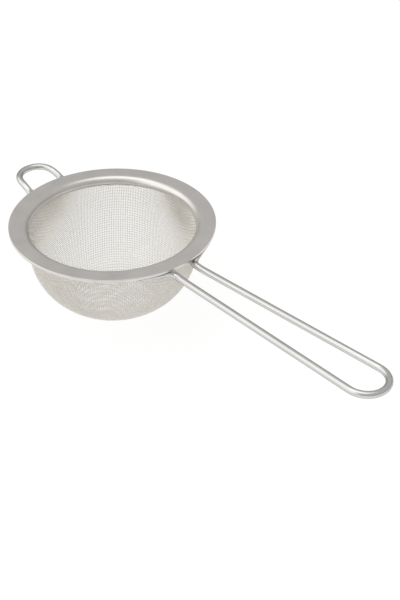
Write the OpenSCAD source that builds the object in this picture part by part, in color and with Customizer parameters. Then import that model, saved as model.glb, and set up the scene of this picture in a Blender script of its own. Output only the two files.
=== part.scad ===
// Tea strainer: a woven wire bowl clamped between the two pressed rings of its
// rim, with a long wire handle and, opposite it, a short wire loop that rests
// on the far side of a cup. Both wires have flattened ends, spot welded under
// the rim. The origin is the middle of the bowl's base, +Z is the bowl's axis
// and the handle points along +X. Millimetres and degrees.

/* [Rim] */
// Outer radius of the rim
rim_r = 46; // [45.5:0.5:49]
// Radius of the opening inside the rim's lip
opening_r = 37; // [36:0.25:38]
// Bend radius of the lip, on its upper side
lip_r = 3; // [2.75:0.25:3.5]
// Bend radius at the rim's outer edge
edge_r = 0.3; // [0.2:0.05:0.3]
// Thickness of each of the rim's pressed sheets
sheet_t = 0.4; // [0.35:0.05:0.5]
// Height of the under ring's collar around the bowl's neck
collar_h = 1.4; // [1:0.1:2]

/* [Bowl] */
// Height of the rim's top over the bowl's base
strainer_h = 42.8; // [42:0.2:46]
// Thickness of the woven cloth, two wires thick
cloth_t = 0.5; // [0.4:0.05:0.6]
// Radius of the round corner between the wall and the bottom
corner_r = 30; // [28:0.5:32]
// Radius of curvature of the bottom
bottom_r = 60; // [50:1:70]
// Radius of the flat spot under the bowl
base_r = 6; // [3:0.5:6]

/* [Wire] */
// Diameter of the wire of the handle and the rest loop
wire_d = 3; // [2.5:0.25:3.25]
// Thickness of the wires' flattened ends
foot_t = 1.5; // [1.2:0.1:1.8]
// Width of the wires' flattened ends
foot_w = 4.2; // [3.6:0.2:4.6]

/* [Handle] */
// Distance from the bowl's axis to the handle's far end
handle_reach = 155.8; // [120:5:180]
// Radius of the handle's end loop, along the middle of the wire
handle_end_r = 9.2; // [8:0.2:11]
// Distance between the middles of the handle's legs at the rim
handle_root_w = 11.7; // [10.2:0.5:14]
// Downward slope of the handle
handle_droop = 0.8; // [0:0.1:3]
// Length of the handle's straight, flattened feet
foot_length = 15; // [13:0.5:16]

/* [Rest loop] */
// Distance from the bowl's axis to the rest loop's far end
rest_reach = 62.3; // [61:1:75]
// Radius of the rest loop's end, along the middle of the wire
rest_end_r = 8.7; // [8.1:0.2:8.9]
// Distance between the middles of the rest loop's legs at the rim
rest_root_w = 18.2; // [18:0.2:19]
// Height of the rest loop's end over its legs at the rim
rest_rise = 1.7; // [0.5:0.2:3]

/* [Hidden] */
$fn = 96;
wire_r = wire_d / 2;
// clearance on each side of the clamped cloth
fit_gap = 0.02;
// how far an arc stands proud of what it touches, so that the two cross cleanly
proud = 0.002;

// Lip: the top ring, the cloth and the under ring bend around one centre.
lip_centre = [opening_r + lip_r, strainer_h - lip_r];
cloth_bend_r = lip_r - sheet_t - fit_gap;
under_bend_r = cloth_bend_r - cloth_t - fit_gap;
// underside of the rim, which sits on a cup and carries the welds
seat_z = strainer_h - 2 * sheet_t - cloth_t - 2 * fit_gap;
under_outer_r = rim_r - sheet_t - 0.05;
cloth_outer_r = rim_r - 1.4;

// Bowl: an upright neck and wall, a round corner and a shallow bottom.
neck_r = lip_centre[0] - cloth_bend_r + cloth_t;
bottom_centre = [0, sqrt(bottom_r * bottom_r - base_r * base_r)];
corner_x = neck_r - corner_r;
corner_drop = sqrt(pow(bottom_r - corner_r, 2) - corner_x * corner_x);
corner_centre = [corner_x, bottom_centre[1] - corner_drop];
corner_end = atan2(-corner_drop, corner_x);

// Welds and flattened feet, just under the rim
weld_t = 0.2;
weld_r = 1.2;
foot_z = seat_z - weld_t - foot_t / 2;

// Handle: each leg bends into a straight foot that stays under the rim.
bend_r = 3;
bend_y = handle_root_w / 2 - 0.1;
bend_x = rim_r + 0.8;
// the foot's direction, measured from straight across the handle
foot_turn = 24;
handle_welds = [3, foot_length - 3];
// the leg dips below the foot before it runs straight
root_x = bend_x + 4;
root_z = foot_z - 1.7;
handle_loop_x = handle_reach - wire_r - handle_end_r - root_x;

// Rest loop: straight feet under the rim, a step up past its edge, then the loop.
rest_foot_in = rim_r - 6;
rest_foot_out = rim_r + 0.8;
rest_weld_x = rim_r - 3.4;
rest_root_x = rest_foot_out + 1.8;
rest_root_z = foot_z + 1.6;
rest_loop_x = rest_reach - wire_r - rest_end_r - rest_root_x;
rest_tilt = asin(rest_rise / (rest_loop_x + rest_end_r));

// how much fatter a bent stretch of wire is, so that a straight one ends inside it
bend_extra = 0.01;
// the same for the ball at a sharp bend
ball_extra = 0.02;
// how far a straight stretch runs on into a bend
lap = 0.15;

// Part of a disc between two angles
module sector(centre, radius, from_angle, to_angle) {
    reach = 2 * radius;
    middle = (from_angle + to_angle) / 2;
    intersection() {
        translate(centre) circle(r = radius);
        polygon([
            centre,
            for (angle = [from_angle, middle, to_angle])
                centre + reach * [cos(angle), sin(angle)]
        ]);
    }
}

// Section of a sheet bent a quarter turn, from flat to upright
module quarter_bend(centre, outer_radius, thickness, from_angle) {
    difference() {
        sector(centre, outer_radius, from_angle, from_angle + 90);
        translate(centre) circle(r = outer_radius - thickness);
    }
}

// Section of a sheet that is flat outside the lip and bends down into it
module lip_section(bend_radius, thickness, outer_radius) {
    quarter_bend(lip_centre, bend_radius, thickness, 90);
    translate([lip_centre[0], lip_centre[1] + bend_radius - thickness])
        square([outer_radius - lip_centre[0], thickness]);
}

// Everything inside one face of the bowl, from its base up to a height
module bowl_inside(inset, top) {
    intersection() {
        union() {
            polygon([
                corner_centre,
                [neck_r - inset, corner_centre[1]],
                [neck_r - inset, top],
                [0, top]
            ]);
            translate(corner_centre) circle(r = corner_r - inset);
            sector(bottom_centre, bottom_r - inset - proud, -90, corner_end);
        }
        translate([0, inset]) square([rim_r, top - inset]);
    }
}

// Section of a wire's flattened end
module flat_section(extra = 0) {
    side = (foot_w - foot_t) / 2;
    square([2 * side, foot_t + 2 * extra], center = true);
    for (x = [-side, side])
        translate([x, 0]) circle(r = foot_t / 2 + extra);
}

// Round wire from one point to another, running on past both
module rod(start, end) {
    step = end - start;
    translate(start)
        rotate([0, acos(step[2] / norm(step)), atan2(step[1], step[0])])
            translate([0, 0, -lap]) cylinder(r = wire_r, h = norm(step) + 2 * lap);
}

// Flat U of round wire: two legs from x = 0 that touch the round end
module wire_loop(end_x, end_radius, root_w) {
    span = norm([end_x, root_w / 2]);
    leg = sqrt(span * span - end_radius * end_radius);
    turn = asin(end_radius / span) - atan2(root_w / 2, end_x);
    translate([end_x, 0, 0])
        rotate(-90 - turn)
            rotate_extrude(angle = 180 + 2 * turn)
                translate([end_radius, 0]) circle(r = wire_r + bend_extra);
    for (side = [0, 1])
        mirror([0, side, 0])
            rod([0, root_w / 2, 0], [leg * cos(turn), root_w / 2 + leg * sin(turn), 0]);
}

// Pressed top ring: flat, with a rounded lip inside and a short skirt outside
module rim_top_ring() {
    edge_centre = [rim_r - edge_r, strainer_h - edge_r];
    color([0.72, 0.71, 0.69])
        rotate_extrude() {
            lip_section(lip_r, sheet_t, edge_centre[0]);
            sector(edge_centre, edge_r, 0, 90);
            translate([rim_r - sheet_t, seat_z])
                square([sheet_t, edge_centre[1] - seat_z]);
        }
}

// Pressed under ring: clamps the cloth under the top ring and around its neck
module rim_under_ring() {
    color([0.66, 0.65, 0.63])
        rotate_extrude() {
            lip_section(under_bend_r, sheet_t, under_outer_r);
            translate([lip_centre[0] - under_bend_r, lip_centre[1] - collar_h])
                square([sheet_t, collar_h]);
        }
}

// Woven wire bowl, as the closed skin that its wires fill
module mesh_bowl() {
    color([0.82, 0.81, 0.79])
        rotate_extrude() {
            lip_section(cloth_bend_r, cloth_t, cloth_outer_r);
            difference() {
                bowl_inside(0, lip_centre[1]);
                bowl_inside(cloth_t, lip_centre[1] + 1);
            }
        }
}

// Long handle: one wire, bent into a loop, with a flattened foot at each end
module handle_wire() {
    color([0.85, 0.85, 0.84]) {
        translate([root_x, 0, root_z])
            rotate([0, handle_droop, 0])
                wire_loop(handle_loop_x, handle_end_r, handle_root_w);
        for (side = [0, 1])
            mirror([0, side, 0]) {
                rod([bend_x, bend_y, foot_z], [root_x, handle_root_w / 2, root_z]);
                translate([root_x, handle_root_w / 2, root_z])
                    sphere(r = wire_r + ball_extra);
                translate([bend_x, bend_y + bend_r, foot_z])
                    rotate(foot_turn) {
                        rotate(180)
                            rotate_extrude(angle = 90 - foot_turn)
                                translate([bend_r, 0]) flat_section(bend_extra);
                        translate([-bend_r, -lap, 0])
                            rotate([-90, 0, 0])
                                linear_extrude(foot_length + lap) flat_section();
                    }
            }
    }
}

// Weld nuggets between the handle's feet and the rim
module handle_spot_welds() {
    color([0.55, 0.53, 0.5])
        for (side = [0, 1], along = handle_welds)
            mirror([0, side, 0])
                translate([bend_x, bend_y + bend_r, seat_z - weld_t])
                    rotate(foot_turn)
                        translate([-bend_r, along, 0]) cylinder(r = weld_r, h = weld_t);
}

// Short loop opposite the handle, with a flattened foot at each end
module rest_loop_wire() {
    color([0.85, 0.85, 0.84])
        rotate(180) {
            translate([rest_root_x, 0, rest_root_z])
                rotate([0, -rest_tilt, 0])
                    wire_loop(rest_loop_x, rest_end_r, rest_root_w);
            for (side = [-1, 1])
                translate([0, side * rest_root_w / 2, 0]) {
                    rod([rest_foot_out, 0, foot_z], [rest_root_x, 0, rest_root_z]);
                    for (joint = [[rest_foot_out, 0, foot_z], [rest_root_x, 0, rest_root_z]])
                        translate(joint) sphere(r = wire_r + ball_extra);
                    translate([rest_foot_in, 0, foot_z])
                        rotate([90, 0, 90])
                            linear_extrude(rest_foot_out - rest_foot_in) flat_section();
                }
        }
}

// Weld nuggets between the rest loop's feet and the rim
module rest_loop_spot_welds() {
    color([0.55, 0.53, 0.5])
        for (side = [-1, 1])
            translate([-rest_weld_x, side * rest_root_w / 2, seat_z - weld_t])
                cylinder(r = weld_r, h = weld_t);
}

rim_top_ring();
rim_under_ring();
mesh_bowl();
handle_wire();
handle_spot_welds();
rest_loop_wire();
rest_loop_spot_welds();
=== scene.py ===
"""Tea strainer: a woven wire bowl clamped in a pressed steel rim, with a looped
wire handle and, opposite it, a short rest loop."""

import math

import bpy
import numpy as np
from mathutils import Matrix, Vector


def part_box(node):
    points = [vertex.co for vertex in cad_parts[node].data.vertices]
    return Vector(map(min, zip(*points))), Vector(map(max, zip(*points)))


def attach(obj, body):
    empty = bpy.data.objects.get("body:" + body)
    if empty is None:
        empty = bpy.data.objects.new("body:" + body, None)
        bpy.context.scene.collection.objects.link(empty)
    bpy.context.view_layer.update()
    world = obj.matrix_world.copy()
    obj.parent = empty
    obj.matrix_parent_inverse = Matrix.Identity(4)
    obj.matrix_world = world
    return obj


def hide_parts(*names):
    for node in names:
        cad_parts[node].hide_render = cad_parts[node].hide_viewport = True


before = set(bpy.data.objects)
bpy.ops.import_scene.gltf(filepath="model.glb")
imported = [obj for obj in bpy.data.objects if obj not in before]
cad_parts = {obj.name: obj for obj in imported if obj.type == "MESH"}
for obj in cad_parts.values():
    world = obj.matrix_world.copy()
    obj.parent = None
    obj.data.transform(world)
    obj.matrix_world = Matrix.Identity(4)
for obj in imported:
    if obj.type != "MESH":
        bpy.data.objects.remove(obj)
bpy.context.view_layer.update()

MM = 0.001

# ---------------- sizes, in millimetres, as in the CAD model
RIM_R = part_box("rim_top_ring")[1].x / MM
RIM_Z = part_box("rim_top_ring")[1].z / MM
LIP_R = 3.0
LIP_X = 40.0
LIP_Z = RIM_Z - LIP_R
SHEET_T = 0.4
EDGE_R = 0.3
COLLAR_H = 1.4
SKIRT_GAP = 0.05
CLOTH_T = 0.5
FIT_GAP = 0.02
SEAT_Z = RIM_Z - 2 * SHEET_T - CLOTH_T - 2 * FIT_GAP
CLOTH_BEND_R = LIP_R - SHEET_T - FIT_GAP
UNDER_BEND_R = CLOTH_BEND_R - CLOTH_T - FIT_GAP
UNDER_OUTER_R = RIM_R - SHEET_T - SKIRT_GAP

NECK_R = LIP_X - CLOTH_BEND_R + CLOTH_T
CORNER_R = 30.0
BOTTOM_R = 60.0
BASE_R = 6.0
CORNER_X = NECK_R - CORNER_R
CORNER_Z = math.sqrt(BOTTOM_R**2 - BASE_R**2) - math.sqrt(
    (BOTTOM_R - CORNER_R) ** 2 - CORNER_X**2
)

# the woven wires, which the CAD model has as one closed skin
WEAVE_PITCH = 0.85
WEAVE_WIRE = 0.25
WEAVE_TURN = math.radians(-45)
WEAVE_SIDES = 5
# where the first side of a woven wire's tube starts, as a share of one side
WEAVE_SIDE_START = 0.25
# share of the lip's bend that the woven wires climb, before the rings hide them
WEAVE_CLIMB = 0.75

# the bent wires and their feet, as in the CAD model
WIRE_R = 1.5
FOOT_T = 1.5
FOOT_W = 4.2
WELD_T = 0.2
FOOT_Z = SEAT_Z - WELD_T - FOOT_T / 2

# faces that meet at more than this are drawn with a crisp edge
RING_CREASE = math.radians(40)
WIRE_CREASE = math.radians(50)


# ---------------- mesh helpers
def mesh_object(name, points, faces, smooth_angle=None):
    """An object from points in millimetres, riding on the part's one body."""
    mesh = bpy.data.meshes.new(name)
    mesh.from_pydata((np.asarray(points) * MM).tolist(), [], faces)
    mesh.update()
    mesh.shade_smooth()
    if smooth_angle is not None:
        mesh.set_sharp_from_angle(angle=smooth_angle)
    thing = bpy.data.objects.new(name, mesh)
    bpy.context.scene.collection.objects.link(thing)
    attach(thing, "root")
    return thing


def arc(x, z, radius, start, end, steps):
    """Points of an arc, with its angles in degrees."""
    angles = np.radians(np.linspace(start, end, steps + 1))
    return [(x + radius * math.cos(a), z + radius * math.sin(a)) for a in angles]


def lathe(name, outline, segments):
    """A ring: a closed outline of (radius, height) turned about the bowl's axis."""
    outline = np.array(outline)
    count = len(outline)
    turns = np.linspace(0, 2 * math.pi, segments, endpoint=False)
    points = np.stack(
        [
            np.outer(np.cos(turns), outline[:, 0]),
            np.outer(np.sin(turns), outline[:, 0]),
            np.outer(np.ones(segments), outline[:, 1]),
        ],
        axis=2,
    ).reshape(-1, 3)
    faces = []
    for s in range(segments):
        a, b = s * count, (s + 1) % segments * count
        for k in range(count):
            n = (k + 1) % count
            faces.append((a + k, b + k, b + n, a + n))
    return mesh_object(name, points, faces, RING_CREASE)


def ring_faces(rings, sides):
    """Faces of a tube of rings with closed ends, numbered ring after ring."""
    faces = []
    for k in range(rings - 1):
        for s in range(sides):
            n = (s + 1) % sides
            faces.append(
                (
                    k * sides + s,
                    k * sides + n,
                    (k + 1) * sides + n,
                    (k + 1) * sides + s,
                )
            )
    faces.append(tuple(range(sides))[::-1])
    faces.append(tuple(range((rings - 1) * sides, rings * sides)))
    return faces


# ---------------- the rim's two pressed rings
def rim_top():
    edge_x, edge_z = RIM_R - EDGE_R, RIM_Z - EDGE_R
    cut = SHEET_T / 2
    outline = (
        arc(LIP_X, LIP_Z, LIP_R, 180, 90, 18)
        + [(LIP_X + (edge_x - LIP_X) * k / 6, RIM_Z) for k in range(1, 6)]
        + arc(edge_x, edge_z, EDGE_R, 90, 0, 8)
        + arc(RIM_R - cut, SEAT_Z + cut, cut, 0, -180, 6)
        + [(RIM_R - SHEET_T, RIM_Z - SHEET_T)]
        + [(edge_x + (LIP_X - edge_x) * k / 6, RIM_Z - SHEET_T) for k in range(1, 6)]
        + arc(LIP_X, LIP_Z, LIP_R - SHEET_T, 90, 180, 16)
        + arc(LIP_X - LIP_R + cut, LIP_Z, cut, 0, -180, 6)[1:-1]
    )
    ring = lathe("rim_top", outline, segments=288)
    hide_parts("rim_top_ring")
    return ring


def rim_under():
    cut = SHEET_T / 2
    low = LIP_Z - COLLAR_H + cut
    neck = LIP_X - UNDER_BEND_R
    top = LIP_Z + UNDER_BEND_R
    outer = UNDER_OUTER_R - cut
    outline = (
        arc(LIP_X, LIP_Z, UNDER_BEND_R, 180, 90, 14)
        + [(LIP_X + (outer - LIP_X) * k / 5, top) for k in range(1, 5)]
        + arc(outer, top - cut, cut, 90, -90, 6)
        + [(outer + (LIP_X - outer) * k / 5, top - SHEET_T) for k in range(1, 5)]
        + arc(LIP_X, LIP_Z, UNDER_BEND_R - SHEET_T, 90, 180, 12)
        + [(neck + SHEET_T, LIP_Z - (COLLAR_H - cut) / 2)]
        + arc(neck + cut, low, cut, 0, -180, 6)
        + [(neck, LIP_Z - (COLLAR_H - cut) / 2)]
    )
    ring = lathe("rim_under", outline, segments=192)
    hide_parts("rim_under_ring")
    return ring


# ---------------- the woven bowl
CLOTH_MID = CLOTH_T / 2
WALL_R = NECK_R - CLOTH_MID
BEND_R = CLOTH_BEND_R - CLOTH_MID
TURN_R = CORNER_R - CLOTH_MID


def bottom_sphere():
    """Height of the centre and radius of the shallow bottom, tangent to the corner."""
    drop = CORNER_Z - CLOTH_MID - TURN_R
    radius = TURN_R + (CORNER_X**2 + drop**2) / (2 * drop)
    return CLOTH_MID + radius, radius


BOTTOM_Z, BOTTOM_MID_R = bottom_sphere()
CORNER_END = math.atan2(CORNER_Z - BOTTOM_Z, CORNER_X)


def cloth_level(p):
    """Signed distance of points from the middle of the cloth, and the outward normal there."""
    r = np.maximum(np.hypot(p[:, 0], p[:, 1]), 1e-9)
    radial = np.stack([p[:, 0] / r, p[:, 1] / r], axis=1)
    z = p[:, 2]
    # the wall
    level = r - WALL_R
    slope_r, slope_z = np.ones_like(r), np.zeros_like(r)
    # the round corner
    dr, dz = r - CORNER_X, z - CORNER_Z
    far = np.hypot(dr, dz)
    corner = z < CORNER_Z
    level = np.where(corner, far - TURN_R, level)
    slope_r = np.where(corner, dr / far, slope_r)
    slope_z = np.where(corner, dz / far, slope_z)
    # the bottom
    bottom = corner & (np.arctan2(z - BOTTOM_Z, r) < CORNER_END)
    far = np.hypot(r, z - BOTTOM_Z)
    level = np.where(bottom, far - BOTTOM_MID_R, level)
    slope_r = np.where(bottom, r / far, slope_r)
    slope_z = np.where(bottom, (z - BOTTOM_Z) / far, slope_z)
    # the bend out over the rim's lip
    dr, dz = r - LIP_X, z - LIP_Z
    far = np.hypot(dr, dz)
    bend = z > LIP_Z
    level = np.where(bend, BEND_R - far, level)
    slope_r = np.where(bend, -dr / far, slope_r)
    slope_z = np.where(bend, -dz / far, slope_z)
    normal = np.stack([slope_r * radial[:, 0], slope_r * radial[:, 1], slope_z], axis=1)
    return level, normal


def meridian(length):
    """Radius and height at a length along the middle of the cloth from the bowl's lowest point."""
    sweep = math.pi / 2 + CORNER_END
    first = BOTTOM_MID_R * sweep
    second = first + TURN_R * -CORNER_END
    third = second + LIP_Z - CORNER_Z
    if length < first:
        a = length / BOTTOM_MID_R
        return BOTTOM_MID_R * math.sin(a), BOTTOM_Z - BOTTOM_MID_R * math.cos(a)
    if length < second:
        a = CORNER_END + (length - first) / TURN_R
        return CORNER_X + TURN_R * math.cos(a), CORNER_Z + TURN_R * math.sin(a)
    if length < third:
        return WALL_R, CORNER_Z + length - second
    a = (length - third) / BEND_R
    return LIP_X - BEND_R * math.cos(a), LIP_Z + BEND_R * math.sin(a)


# the net is sized for the cloth's longest wires, with this much to spare
NET_MARGIN = 1.6
# steps that find each crossing, and how far off the cloth it may end up
NET_STEPS = 12
NET_MISS = 0.01
# a cell with less than this share of a square's area is too skewed to keep
CELL_LEAST = 0.2
TINY = 1e-9


def woven_quarter(pitch, top):
    """Crossings of one quarter of the cloth, as [i][j] points, with nan beyond its edge.

    The two middle wires run straight up the bowl. Every other crossing is one pitch along the
    cloth from its two neighbours, so the wires keep their spacing and only the angle between
    them changes.
    """
    size = 4
    while meridian(size * pitch)[1] < top:
        size += 1
    size = int(size * NET_MARGIN)
    net = np.full((size, size, 3), np.nan)
    for k in range(size):
        r, z = meridian(k * pitch)
        if z > top:
            break
        net[k, 0] = (r, 0, z)
        net[0, k] = (0, r, z)
    for total in range(2, 2 * size - 1):
        i = np.arange(max(1, total - size + 1), min(size, total))
        j = total - i
        a, b, d = net[i - 1, j], net[i, j - 1], net[i - 1, j - 1]
        fine = np.isfinite(a[:, 0]) & np.isfinite(b[:, 0]) & np.isfinite(d[:, 0])
        if not fine.any():
            if total > size:
                break
            continue
        i, j, a, b, d = i[fine], j[fine], a[fine], b[fine], d[fine]
        c = a + b - d
        for _ in range(NET_STEPS):
            level, normal = cloth_level(c)
            to_a, to_b = c - a, c - b
            miss = np.stack(
                [
                    ((to_a**2).sum(1) - pitch**2) / 2,
                    ((to_b**2).sum(1) - pitch**2) / 2,
                    level,
                ],
                axis=1,
            )
            rows = np.stack([to_a, to_b, normal], axis=1)
            step = np.linalg.solve(rows + TINY * np.eye(3), miss[:, :, None])[:, :, 0]
            c = c - np.clip(step, -pitch / 3, pitch / 3)
        open_cell = np.linalg.norm(np.cross(c - a, c - b), axis=1) > CELL_LEAST * pitch**2
        good = (c[:, 2] < top) & open_cell & (np.abs(cloth_level(c)[0]) < NET_MISS)
        net[i[good], j[good]] = c[good]
    return net


def woven_cloth():
    """The crossings of the whole cloth, their outward normals, and 1 or -1 for over or under."""
    quarter = woven_quarter(WEAVE_PITCH, LIP_Z + WEAVE_CLIMB * BEND_R)
    size = len(quarter)
    span = 2 * size - 1
    net = np.full((span, span, 3), np.nan)
    i, j = np.meshgrid(np.arange(size), np.arange(size), indexing="ij")
    for flip_x in (1, -1):
        for flip_y in (1, -1):
            net[size - 1 + flip_x * i, size - 1 + flip_y * j] = quarter * (
                flip_x,
                flip_y,
                1,
            )
    net = net @ np.array(Matrix.Rotation(WEAVE_TURN, 3, "Z")).T
    flat = net.reshape(-1, 3)
    normal = np.full_like(flat, np.nan)
    fine = np.isfinite(flat[:, 0])
    normal[fine] = cloth_level(flat[fine])[1]
    normal = normal.reshape(net.shape)
    i, j = np.meshgrid(np.arange(span), np.arange(span), indexing="ij")
    over = np.where((i + j) % 2 == 0, 1.0, -1.0)
    return net, normal, over


def weave(name, net, normal, over):
    """One set of wires: a bent tube along each row of the net."""
    points, faces = [], []
    base = 0
    angles = 2 * math.pi * (np.arange(WEAVE_SIDES) + WEAVE_SIDE_START) / WEAVE_SIDES
    for row in range(len(net)):
        held = np.isfinite(net[row, :, 0])
        if held.sum() < 3:
            continue
        where = np.flatnonzero(held)
        for run in np.split(where, np.flatnonzero(np.diff(where) > 1) + 1):
            if len(run) < 3:
                continue
            n = normal[row, run]
            line = net[row, run] + n * over[row, run][:, None] * WEAVE_WIRE / 2
            along = np.gradient(line, axis=0)
            side = np.cross(along, n)
            side /= np.linalg.norm(side, axis=1)[:, None]
            up = np.cross(side, along)
            up /= np.linalg.norm(up, axis=1)[:, None]
            tube = (
                line[:, None]
                + WEAVE_WIRE
                / 2
                * (
                    np.cos(angles)[None, :, None] * side[:, None]
                    + np.sin(angles)[None, :, None] * up[:, None]
                )
            )
            points.append(tube.reshape(-1, 3))
            faces += [
                tuple(base + v for v in f) for f in ring_faces(len(run), WEAVE_SIDES)
            ]
            base += len(run) * WEAVE_SIDES
    thing = mesh_object(name, np.concatenate(points), faces)
    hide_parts("mesh_bowl")
    return thing


# ---------------- the bent wires
def smooth(t):
    """0 below 0, 1 above 1, and an even ease between them."""
    t = np.clip(t, 0, 1)
    return t * t * (3 - 2 * t)


# how square the pressed section is, and the length over which a wire's end is rounded off
FLAT_SQUARENESS = 0.45
END_ROUND = 1.2
# the least a wire's end shrinks to, squared, and how its thickness follows its width
END_LEAST = 0.02
END_KEPT, END_CUT = 0.55, 0.45
WIRE_SIDES = 28


def flat_until(away, start, length):
    """Flatness along a wire: 1 up to a distance from the bowl's axis, 0 a length further out."""
    return 1 - smooth((away - start) / length)


def sweep_wire(name, path, flatness):
    """A wire along a path. Flatness is 0 where it is round and 1 where it is pressed flat."""
    path = np.array(path)
    along = np.gradient(path, axis=0)
    along /= np.linalg.norm(along, axis=1)[:, None]
    side = np.cross(along, (0, 0, 1))
    side /= np.linalg.norm(side, axis=1)[:, None]
    up = np.cross(side, along)
    flatness = np.array(flatness)[:, None]
    half_w = WIRE_R + (FOOT_W / 2 - WIRE_R) * flatness
    half_t = WIRE_R + (FOOT_T / 2 - WIRE_R) * flatness
    power = 1 - FLAT_SQUARENESS * flatness
    angles = 2 * math.pi * np.arange(WIRE_SIDES) / WIRE_SIDES
    c, s = np.cos(angles)[None, :], np.sin(angles)[None, :]
    x = half_w * np.sign(c) * np.abs(c) ** power
    y = half_t * np.sign(s) * np.abs(s) ** power
    # the ends are rounded off over the last stretch
    length = np.concatenate(
        [[0], np.cumsum(np.linalg.norm(np.diff(path, axis=0), axis=1))]
    )
    to_end = np.minimum(length, length[-1] - length)[:, None]
    shrink = np.sqrt(np.clip(1 - (1 - to_end / END_ROUND).clip(0, 1) ** 2, END_LEAST, 1))
    x = x * shrink
    y = y * (END_KEPT + END_CUT * shrink)
    rings = path[:, None] + x[:, :, None] * side[:, None] + y[:, :, None] * up[:, None]
    thing = mesh_object(
        name, rings.reshape(-1, 3), ring_faces(len(path), WIRE_SIDES), WIRE_CREASE
    )
    return thing


def resampled(points, step):
    """The same path with points a step apart."""
    points = np.array(points)
    length = np.concatenate(
        [[0], np.cumsum(np.linalg.norm(np.diff(points, axis=0), axis=1))]
    )
    count = max(2, int(length[-1] / step))
    at = np.linspace(0, length[-1], count + 1)
    return np.stack([np.interp(at, length, points[:, k]) for k in range(3)], axis=1)


HANDLE_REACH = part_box("handle_wire")[1].x / MM
HANDLE_END_R = 9.2
HANDLE_ROOT_W = 11.7
HANDLE_DROOP = math.radians(0.8)
FOOT_LENGTH = 15.0
FOOT_TURN = math.radians(24)
FOOT_BEND_R = 3.0
BEND_X = RIM_R + 0.8
# the legs' height below the feet, in all and at the end of the bend
LEG_DROP = 1.7
BEND_DROP = 1.4
# how much further apart the legs are once they run straight, on each side
LEG_SPREAD = 0.1
LEG_RUN = 4.0
FOOT_STEPS, BEND_STEPS, LEG_STEPS, LOOP_STEPS = 40, 24, 120, 48


def handle_half():
    """Path of one half of the handle, from the foot's end to the middle of the loop's end."""
    bend_y = HANDLE_ROOT_W / 2 - LEG_SPREAD
    root_x = BEND_X + LEG_RUN
    across, along = -math.sin(FOOT_TURN), math.cos(FOOT_TURN)
    first, last = math.pi + FOOT_TURN, 1.5 * math.pi
    start_x = BEND_X - FOOT_BEND_R * along
    start_y = bend_y + FOOT_BEND_R + FOOT_BEND_R * across
    path = [
        (start_x + d * across, start_y + d * along, FOOT_Z)
        for d in np.linspace(FOOT_LENGTH, 0, FOOT_STEPS)
    ]
    path += [
        (
            BEND_X + FOOT_BEND_R * math.cos(a),
            bend_y + FOOT_BEND_R + FOOT_BEND_R * math.sin(a),
            FOOT_Z - BEND_DROP * smooth((a - first) / (last - first)),
        )
        for a in np.linspace(first, last, BEND_STEPS)[1:]
    ]
    slope = math.tan(HANDLE_DROOP)
    for t in np.linspace(0, 1, BEND_STEPS)[1:]:
        drop = BEND_DROP + smooth(t) * (LEG_DROP - BEND_DROP)
        drop += t * slope * LEG_RUN * t / 2
        path.append((BEND_X + t * LEG_RUN, bend_y + LEG_SPREAD * smooth(t), FOOT_Z - drop))
    end_x = HANDLE_REACH - WIRE_R - HANDLE_END_R
    run = end_x - root_x
    span = math.hypot(run, HANDLE_ROOT_W / 2)
    leg = math.sqrt(span**2 - HANDLE_END_R**2)
    turn = math.asin(HANDLE_END_R / span) - math.atan2(HANDLE_ROOT_W / 2, run)
    z = path[-1][2]
    for t in np.linspace(0, 1, LEG_STEPS)[1:]:
        x = root_x + t * leg * math.cos(turn)
        path.append(
            (x, HANDLE_ROOT_W / 2 + t * leg * math.sin(turn), z - (x - root_x) * slope)
        )
    for a in np.linspace(math.pi / 2 + turn, 0, LOOP_STEPS)[1:]:
        x = end_x + HANDLE_END_R * math.cos(a)
        path.append((x, HANDLE_END_R * math.sin(a), z - (x - root_x) * slope))
    return path


def round_corners(path, passes):
    """Runs a short moving average along an evenly spaced path, keeping its ends."""
    path = np.array(path)
    for _ in range(passes):
        path[1:-1] = (path[:-2] + 2 * path[1:-1] + path[2:]) / 4
    return path


def handle():
    half = np.array(handle_half())
    other = half[::-1][1:] * (1, -1, 1)
    path = round_corners(resampled(np.concatenate([half, other]), step=0.5), passes=3)
    # flat along the rim, round once it has bent out into the leg
    away = np.hypot(path[:, 0], path[:, 1])
    thing = sweep_wire("handle_loop", path, flat_until(away, start=RIM_R - 1.4, length=2.8))
    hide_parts("handle_wire")
    return thing


REST_REACH = -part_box("rest_loop_wire")[0].x / MM
REST_END_R = 8.7
REST_ROOT_W = 18.2
# the rest loop's rise over its feet, and the power that puts most of it close to the rim
REST_RISE = 3.3
REST_EASE = 2.7
REST_IN = RIM_R - 6
REST_OUT = RIM_R - 0.1
REST_ROOT_X = RIM_R + 2.6
REST_FOOT_STEPS, REST_LEG_STEPS = 24, 16


def rest_half():
    """Path of one half of the rest loop, from the foot's end to the middle of the loop's end."""
    y = REST_ROOT_W / 2
    end_x = REST_REACH - WIRE_R - REST_END_R
    run = end_x - REST_ROOT_X
    span = math.hypot(run, y)
    leg = math.sqrt(span**2 - REST_END_R**2)
    turn = math.asin(REST_END_R / span) - math.atan2(y, run)
    plan = [(x, y) for x in np.linspace(REST_IN, REST_ROOT_X, REST_FOOT_STEPS)]
    for t in np.linspace(0, 1, REST_LEG_STEPS)[1:]:
        plan.append((REST_ROOT_X + t * leg * math.cos(turn), y + t * leg * math.sin(turn)))
    for a in np.linspace(math.pi / 2 + turn, 0, LOOP_STEPS)[1:]:
        plan.append((end_x + REST_END_R * math.cos(a), REST_END_R * math.sin(a)))
    path = []
    for x, y in plan:
        out = max(0, (x - REST_OUT) / (end_x + REST_END_R - REST_OUT))
        path.append((-x, y, FOOT_Z + REST_RISE * (1 - (1 - min(1, out)) ** REST_EASE)))
    return path


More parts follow.
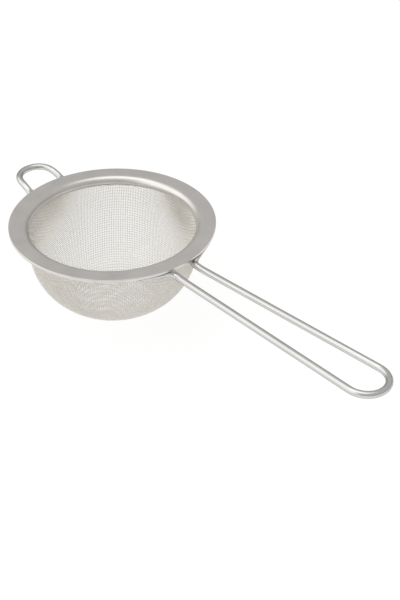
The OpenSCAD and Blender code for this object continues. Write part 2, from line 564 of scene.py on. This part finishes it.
def rest_loop():
    half = np.array(rest_half())
    other = half[::-1][1:] * (1, -1, 1)
    path = round_corners(resampled(np.concatenate([half, other]), step=0.4), passes=6)
    away = -path[:, 0]
    thing = sweep_wire("rest_loop", path, flat_until(away, start=RIM_R - 0.4, length=2.4))
    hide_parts("rest_loop_wire")
    return thing


# ---------------- materials
STREAK_DETAIL = 6.0
CLOUD_SCALE, CLOUD_DETAIL = 90.0, 3.0
# the two noises added together stay mostly between these
NOISE_LOW, NOISE_HIGH = 0.6, 1.4
RELIEF_DEPTH = 0.05 * MM
# how far the roughness varies either way
GLOSS_SPREAD = 0.1


def map_range(tree, source, inside, outside, curve="LINEAR"):
    """Output of a node that maps one range of a value to another."""
    node = tree.nodes.new("ShaderNodeMapRange")
    node.interpolation_type = curve
    node.inputs["From Min"].default_value, node.inputs["From Max"].default_value = inside
    node.inputs["To Min"].default_value, node.inputs["To Max"].default_value = outside
    tree.links.new(source, node.inputs["Value"])
    return node.outputs[0]


def math_node(tree, operation, first, second):
    """Output of a math node on one linked value and one linked or plain value."""
    node = tree.nodes.new("ShaderNodeMath")
    node.operation = operation
    tree.links.new(first, node.inputs[0])
    if isinstance(second, float):
        node.inputs[1].default_value = second
    else:
        tree.links.new(second, node.inputs[1])
    return node.outputs[0]


def vector_node(tree, operation, source):
    """A vector math node on one linked vector."""
    node = tree.nodes.new("ShaderNodeVectorMath")
    node.operation = operation
    tree.links.new(source, node.inputs[0])
    return node


def noise(tree, where, scale, detail):
    """Output of a noise texture."""
    node = tree.nodes.new("ShaderNodeTexNoise")
    node.inputs["Scale"].default_value = scale
    node.inputs["Detail"].default_value = detail
    tree.links.new(where, node.inputs["Vector"])
    return node.outputs["Fac"]


def ring_space(tree, place, stretch):
    """Coordinates that change slowly around the bowl's axis and fast with radius and height."""
    parts = tree.nodes.new("ShaderNodeSeparateXYZ")
    tree.links.new(place, parts.inputs[0])
    flat = tree.nodes.new("ShaderNodeCombineXYZ")
    tree.links.new(parts.outputs["X"], flat.inputs["X"])
    tree.links.new(parts.outputs["Y"], flat.inputs["Y"])
    radius = vector_node(tree, "LENGTH", flat.outputs[0]).outputs["Value"]
    around = tree.nodes.new("ShaderNodeSeparateXYZ")
    tree.links.new(vector_node(tree, "NORMALIZE", flat.outputs[0]).outputs[0], around.inputs[0])
    level = math_node(tree, "ADD", radius, parts.outputs["Z"])
    where = tree.nodes.new("ShaderNodeCombineXYZ")
    tree.links.new(around.outputs["X"], where.inputs["X"])
    tree.links.new(around.outputs["Y"], where.inputs["Y"])
    tree.links.new(math_node(tree, "MULTIPLY", level, stretch), where.inputs["Z"])
    return where.outputs[0]


def steel(name, tint, rough, scale, stretch, bump, rings=False, shade=0.05, edge=1.0):
    """Stainless steel with fine streaks along X, or around the bowl's axis.

    Shade is how far the tint varies, and edge is how much it reflects at a glancing angle.
    """
    material = bpy.data.materials.new(name)
    material.use_nodes = True
    tree = material.node_tree
    shader = tree.nodes["Principled BSDF"]
    shader.inputs["Metallic"].default_value = 1.0
    shader.inputs["Specular Tint"].default_value = (edge, edge, edge, 1)
    place = tree.nodes.new("ShaderNodeTexCoord").outputs["Object"]
    if rings:
        where = ring_space(tree, place, stretch)
    else:
        mapping = tree.nodes.new("ShaderNodeMapping")
        mapping.inputs["Scale"].default_value = (1.0, stretch, stretch)
        tree.links.new(place, mapping.inputs["Vector"])
        where = mapping.outputs[0]
    streaks = noise(tree, where, scale, STREAK_DETAIL)
    clouds = noise(tree, place, CLOUD_SCALE, CLOUD_DETAIL)
    blend = math_node(tree, "ADD", streaks, clouds)
    inside = (NOISE_LOW, NOISE_HIGH)
    colour = tree.nodes.new("ShaderNodeMix")
    colour.data_type = "RGBA"
    colour.inputs["A"].default_value = (*[c * (1 - shade) for c in tint], 1)
    colour.inputs["B"].default_value = (*[min(1, c * (1 + shade)) for c in tint], 1)
    tree.links.new(map_range(tree, blend, inside, (0.0, 1.0)), colour.inputs["Factor"])
    tree.links.new(colour.outputs["Result"], shader.inputs["Base Color"])
    outside = (rough * (1 - GLOSS_SPREAD), rough * (1 + GLOSS_SPREAD))
    gloss = map_range(tree, blend, inside, outside)
    tree.links.new(gloss, shader.inputs["Roughness"])
    if bump:
        relief = tree.nodes.new("ShaderNodeBump")
        relief.inputs["Strength"].default_value = bump
        relief.inputs["Distance"].default_value = RELIEF_DEPTH
        tree.links.new(streaks, relief.inputs["Height"])
        tree.links.new(relief.outputs[0], shader.inputs["Normal"])
    return material


def dress(thing, material):
    thing.data.materials.clear()
    thing.data.materials.append(material)


# ---------------- build
top_ring = rim_top()
under_ring = rim_under()
net, normal, over = woven_cloth()
warp = weave("mesh_warp", net, normal, over)
weft = weave(
    "mesh_weft", net.transpose(1, 0, 2), normal.transpose(1, 0, 2), -over.T
)
handle_piece = handle()
rest_piece = rest_loop()

RIM_TINT = (0.685, 0.667, 0.645)
brushed_rim = steel(
    "brushed_rim", RIM_TINT, rough=0.3, scale=6.0, stretch=500.0, bump=0.15, rings=True, shade=0.09
)
plain_rim = steel(
    "plain_rim", RIM_TINT, rough=0.34, scale=6.0, stretch=350.0, bump=0.1, rings=True
)
woven_steel = steel(
    "woven_steel", (0.81, 0.788, 0.745), rough=0.6, scale=40.0, stretch=1.0, bump=0.0, shade=0.06
)
wire_steel = steel(
    "drawn_wire", (0.63, 0.625, 0.615), rough=0.2, scale=30.0, stretch=14.0, bump=0.06, edge=0.4
)
weld_steel = steel(
    "weld_steel", (0.42, 0.40, 0.37), rough=0.45, scale=200.0, stretch=1.0, bump=0.3
)
dress(top_ring, brushed_rim)
dress(under_ring, plain_rim)
dress(warp, woven_steel)
dress(weft, woven_steel)
dress(handle_piece, wire_steel)
dress(rest_piece, wire_steel)
for name in ("handle_spot_welds", "rest_loop_spot_welds"):
    dress(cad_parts[name], weld_steel)

# ---------------- floor, light and camera
# half the floor's width, in metres
FLOOR_HALF = 4
FLOOR_GREY, FLOOR_GLOW = 0.2, 0.85
corners = [(x * FLOOR_HALF, y * FLOOR_HALF, 0) for x, y in ((-1, -1), (1, -1), (1, 1), (-1, 1))]
floor_mesh = bpy.data.meshes.new("floor")
floor_mesh.from_pydata(corners, [], [(0, 1, 2, 3)])
floor = bpy.data.objects.new("floor", floor_mesh)
bpy.context.scene.collection.objects.link(floor)
floor_look = bpy.data.materials.new("white_floor")
floor_look.use_nodes = True
shader = floor_look.node_tree.nodes["Principled BSDF"]
shader.inputs["Base Color"].default_value = (FLOOR_GREY, FLOOR_GREY, FLOOR_GREY, 1)
shader.inputs["Roughness"].default_value = 0.9
shader.inputs["Specular IOR Level"].default_value = 0.0
shader.inputs["Emission Color"].default_value = (1, 1, 1, 1)
shader.inputs["Emission Strength"].default_value = FLOOR_GLOW
dress(floor, floor_look)

# the room is bright on the picture's left and darker towards the horizon
KEY_SIDE = Vector((-0.565, -0.735, 0.37)).normalized()
KEY_GLOW = 0.86
HORIZON_GLOW, SKY_GLOW = 0.36, 0.62
# where each glow starts and is full: by how nearly a direction points to the key side, and by
# its height
KEY_RANGE = (0.5, 0.93)
SKY_RANGE = (0.0, 0.5)
world = bpy.data.worlds.new("studio")
world.use_nodes = True
room = world.node_tree
sky = room.nodes["Background"]
sky.inputs["Color"].default_value = (1.0, 0.99, 0.975, 1)
heading = room.nodes.new("ShaderNodeTexCoord").outputs["Generated"]
toward_key = vector_node(room, "DOT_PRODUCT", heading)
toward_key.inputs[1].default_value = KEY_SIDE
key_glow = map_range(
    room, toward_key.outputs["Value"], KEY_RANGE, (0.0, KEY_GLOW), "SMOOTHSTEP"
)
height = room.nodes.new("ShaderNodeSeparateXYZ")
room.links.new(heading, height.inputs[0])
sky_glow = map_range(
    room, height.outputs["Z"], SKY_RANGE, (HORIZON_GLOW, SKY_GLOW), "SMOOTHSTEP"
)
room.links.new(math_node(room, "ADD", key_glow, sky_glow), sky.inputs["Strength"])
bpy.context.scene.world = world


def softbox(name, place, aim, size, power):
    light = bpy.data.lights.new(name, "AREA")
    light.shape = "RECTANGLE"
    light.size, light.size_y = size
    light.energy = power
    lamp = bpy.data.objects.new(name, light)
    lamp.location = place
    lamp.rotation_euler = (Vector(aim) - Vector(place)).to_track_quat("-Z", "Y").to_euler()
    bpy.context.scene.collection.objects.link(lamp)


softbox("top_light", place=(0.0, -0.1, 1.4), aim=(0, 0, 0), size=(1.1, 1.1), power=3.3)

CAMERA_AIM = Vector((69.58, -14.23, 42.8)) * MM
CAMERA_AZIMUTH = math.radians(-44.88)
CAMERA_HEIGHT = math.radians(36.09)
CAMERA_ROLL = math.radians(0.292)
CAMERA_AWAY = 0.5282
camera_data = bpy.data.cameras.new("camera")
camera_data.lens = 77.89
camera_data.sensor_width = 36.0
camera_data.clip_start = 0.01
camera = bpy.data.objects.new("camera", camera_data)
toward = Vector(
    (
        math.cos(CAMERA_HEIGHT) * math.cos(CAMERA_AZIMUTH),
        math.cos(CAMERA_HEIGHT) * math.sin(CAMERA_AZIMUTH),
        math.sin(CAMERA_HEIGHT),
    )
)
camera.location = CAMERA_AIM + CAMERA_AWAY * toward
camera.rotation_euler = (
    toward.to_track_quat("Z", "Y").to_matrix() @ Matrix.Rotation(CAMERA_ROLL, 3, "Z")
).to_euler()
bpy.context.scene.collection.objects.link(camera)
bpy.context.scene.camera = camera
bpy.context.scene.view_settings.view_transform = "Standard"
